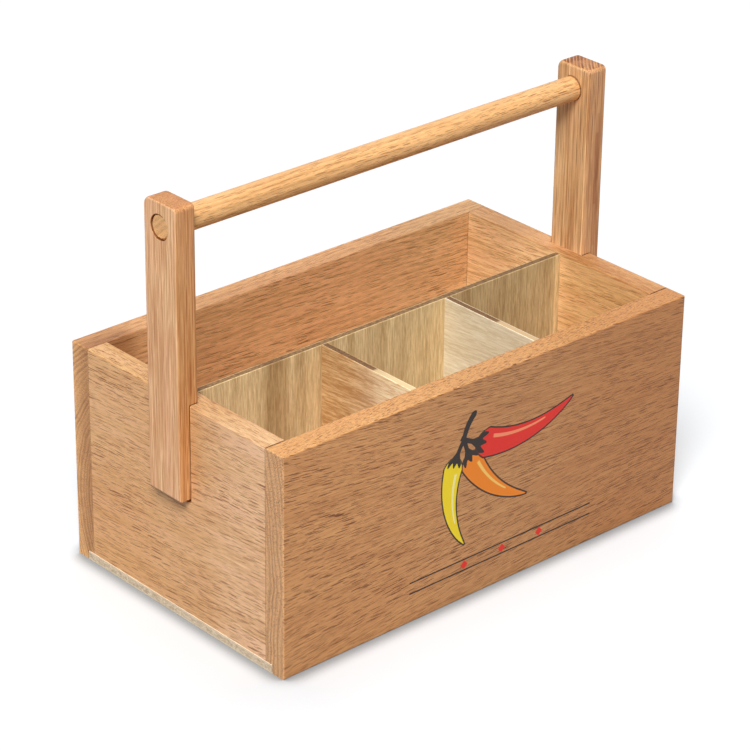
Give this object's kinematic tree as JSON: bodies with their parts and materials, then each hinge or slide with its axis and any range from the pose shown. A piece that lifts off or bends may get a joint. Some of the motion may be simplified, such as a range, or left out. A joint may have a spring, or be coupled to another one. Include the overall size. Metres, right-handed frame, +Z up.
{
  "type": "condiment caddy",
  "caption": "Open oak table caddy on a plywood base, with plywood dividers for bottles, posts let into the ends and a round carrying handle.",
  "frame": {"origin": "middle of the underside of the box, on the surface that the caddy stands on", "axes": "+X along the length to the right end, +Y from the front board to the back board, +Z up"},
  "size_m": [0.262, 0.15, 0.208],
  "materials": {
    "oak_board": "sanded oak, clear matt oil",
    "oak_post": "sanded oak, clear matt oil",
    "oak_dowel": "turned oak, clear matt oil",
    "base_plywood": "bare plywood",
    "divider_plywood": "bare plywood",
    "beech_pin": "plain beech",
    "steel_brad": "bright wire"
  },
  "bodies": {
    "root": {"front_panel": "oak_board", "back_panel": "oak_board", "left_end_panel": "oak_board", "right_end_panel": "oak_board", "left_handle_post": "oak_post", "right_handle_post": "oak_post", "handle_dowel": "oak_dowel", "base_panel": "base_plywood", "long_divider": "divider_plywood", "left_cross_divider": "divider_plywood", "right_cross_divider": "divider_plywood", "front_left_corner_pins": "beech_pin", "front_right_corner_pins": "beech_pin", "back_left_corner_pins": "beech_pin", "back_right_corner_pins": "beech_pin", "front_base_brads": "steel_brad", "back_base_brads": "steel_brad", "left_base_brads": "steel_brad", "right_base_brads": "steel_brad"}
  },
  "joints": []
}
